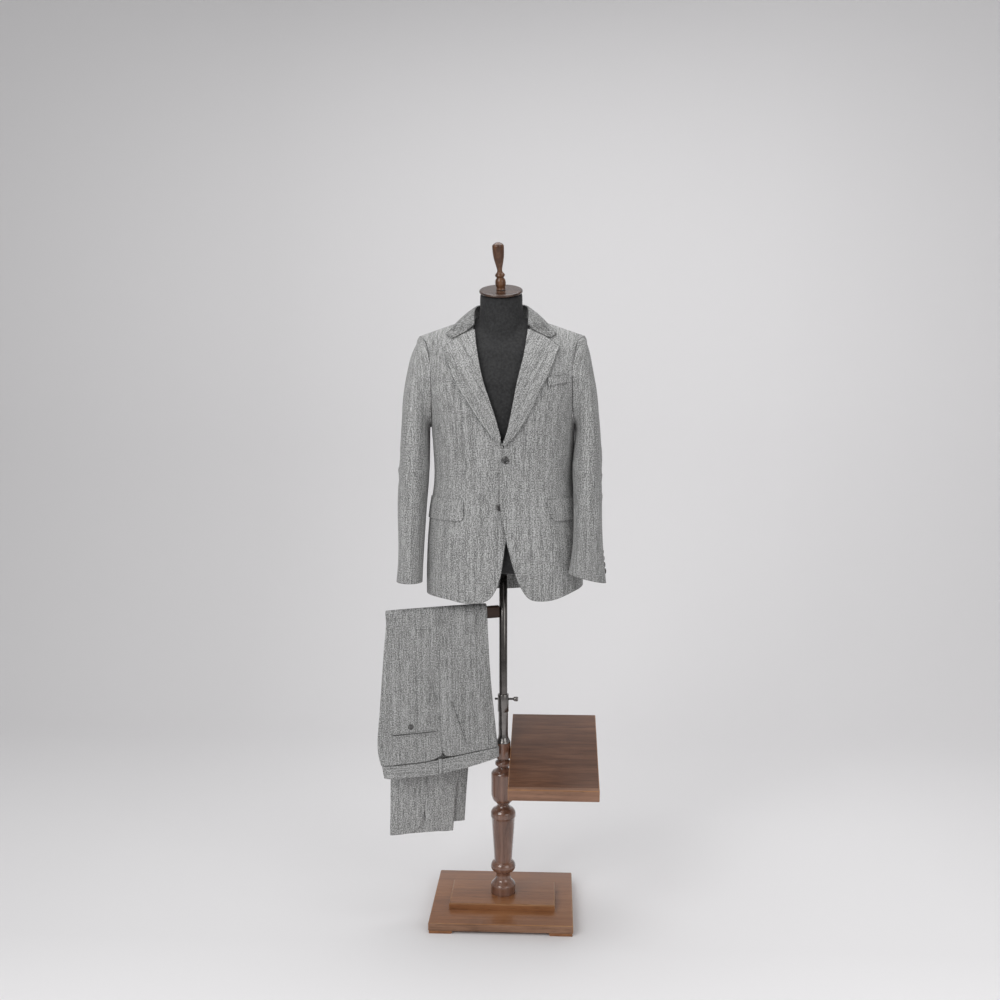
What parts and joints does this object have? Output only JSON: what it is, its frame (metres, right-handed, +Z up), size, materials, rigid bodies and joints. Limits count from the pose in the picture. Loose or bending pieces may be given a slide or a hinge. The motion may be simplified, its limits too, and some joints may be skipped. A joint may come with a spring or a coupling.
{
  "type": "two-piece suit on a limbless dress-form stand",
  "caption": "Grey tailored jacket worn by a dark dress form, with its folded trousers over the wooden stand's arm, above a turned post and tilted shelf.",
  "frame": {"origin": "on the floor, under the middle of the whole object's box", "axes": "+Z is up, -Y is the way the jacket faces, +X is the wearer's left"},
  "size_m": [0.6057, 0.3844, 1.8204],
  "materials": {
    "suiting": "matt grey wool, fine diagonal weave",
    "horn": "smooth dark grey horn-like buttons",
    "form_cloth": "matt black knit stretched over the form",
    "stained_wood": "dark stained and varnished wood",
    "chromed_steel": "bright plated tube"
  },
  "bodies": {
    "stand": {"runner_right": "stained_wood", "runner_left": "stained_wood", "base_board": "stained_wood", "step_board": "stained_wood", "post": "stained_wood", "lower_tube": "chromed_steel", "clamp_collar": "chromed_steel", "shelf": "stained_wood", "shelf_lip": "stained_wood", "shelf_bearer": "stained_wood"},
    "mast": {"inner_tube": "chromed_steel", "trouser_arm": "stained_wood", "dress_form": "form_cloth", "neck_cap": "stained_wood", "finial": "stained_wood", "front_left": "suiting", "front_right": "suiting", "side_left": "suiting", "side_right": "suiting", "back_left": "suiting", "back_right": "suiting", "sleeve_left_top": "suiting", "sleeve_left_under": "suiting", "sleeve_right_top": "suiting", "sleeve_right_under": "suiting", "lapel_left": "suiting", "lapel_right": "suiting", "collar_leaf": "suiting", "collar_stand": "suiting", "flap_left": "suiting", "flap_right": "suiting", "breast_welt": "suiting", "trouser_left_back": "suiting", "trouser_left_front": "suiting", "trouser_right_back": "suiting", "trouser_right_front": "suiting", "waistband_left": "suiting", "waistband_right": "suiting", "belt_loop_left": "suiting", "belt_loop_right": "suiting", "back_pocket_left": "suiting", "front_pocket_left": "suiting", "button_upper": "horn", "button_lower": "horn", "back_pocket_button": "horn", "sleeve_left_button_1": "horn", "sleeve_left_button_2": "horn", "sleeve_left_button_3": "horn", "sleeve_left_button_4": "horn", "sleeve_right_button_1": "horn", "sleeve_right_button_2": "horn", "sleeve_right_button_3": "horn", "sleeve_right_button_4": "horn"},
    "clamp_screw": {"clamp_screw": "chromed_steel"}
  },
  "joints": [
    {"name": "mast_slide", "type": "slide", "parent": "stand", "child": "mast", "axis": [0, 0, 1], "range_m": [0, 0.2]},
    {"name": "clamp_screw_turn", "type": "hinge", "parent": "stand", "child": "clamp_screw", "pos_m": [0.0284, 0.0357, 0.589], "axis": [1, 0, 0], "range_deg": [0, 180]}
  ]
}
